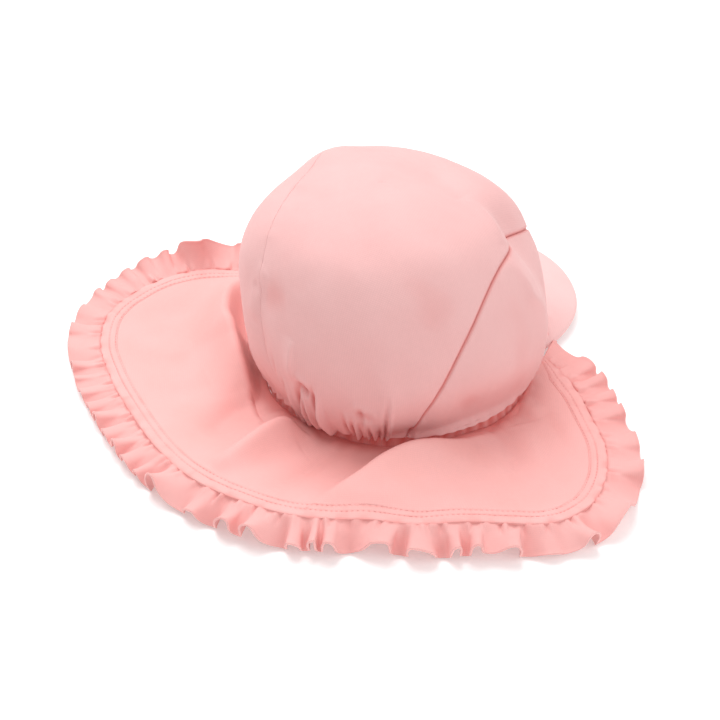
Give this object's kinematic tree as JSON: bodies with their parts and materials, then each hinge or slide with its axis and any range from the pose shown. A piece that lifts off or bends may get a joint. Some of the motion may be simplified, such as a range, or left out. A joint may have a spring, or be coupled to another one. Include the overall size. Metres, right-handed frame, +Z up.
{
  "type": "baby swim cap",
  "caption": "Baby sun cap with a puffed three-panel crown, stiff crescent peak, gathered elastic nape and a wide neck flap edged with a gathered ruffle.",
  "frame": {"origin": "centre of the bounding box's bottom, on the floor that the cap lies on", "axes": "+Z up, the peak points to -Y, the neck flap spreads to +Y, the wearer's left is +X"},
  "size_m": [0.3434, 0.3018, 0.1208],
  "materials": {
    "crown_fabric": "matt pale pink swim knit",
    "peak_fabric": "matt pale pink swim knit over a stiff insert",
    "flap_fabric": "matt pink swim knit",
    "trim_fabric": "matt pink swim knit, gathered"
  },
  "bodies": {
    "root": {"crown_centre_panel": "crown_fabric", "crown_side_left": "crown_fabric", "crown_side_right": "crown_fabric", "front_band": "crown_fabric", "peak": "peak_fabric", "elastic_casing": "trim_fabric", "neck_flap": "flap_fabric", "hem_band": "flap_fabric", "ruffle": "trim_fabric"}
  },
  "joints": []
}
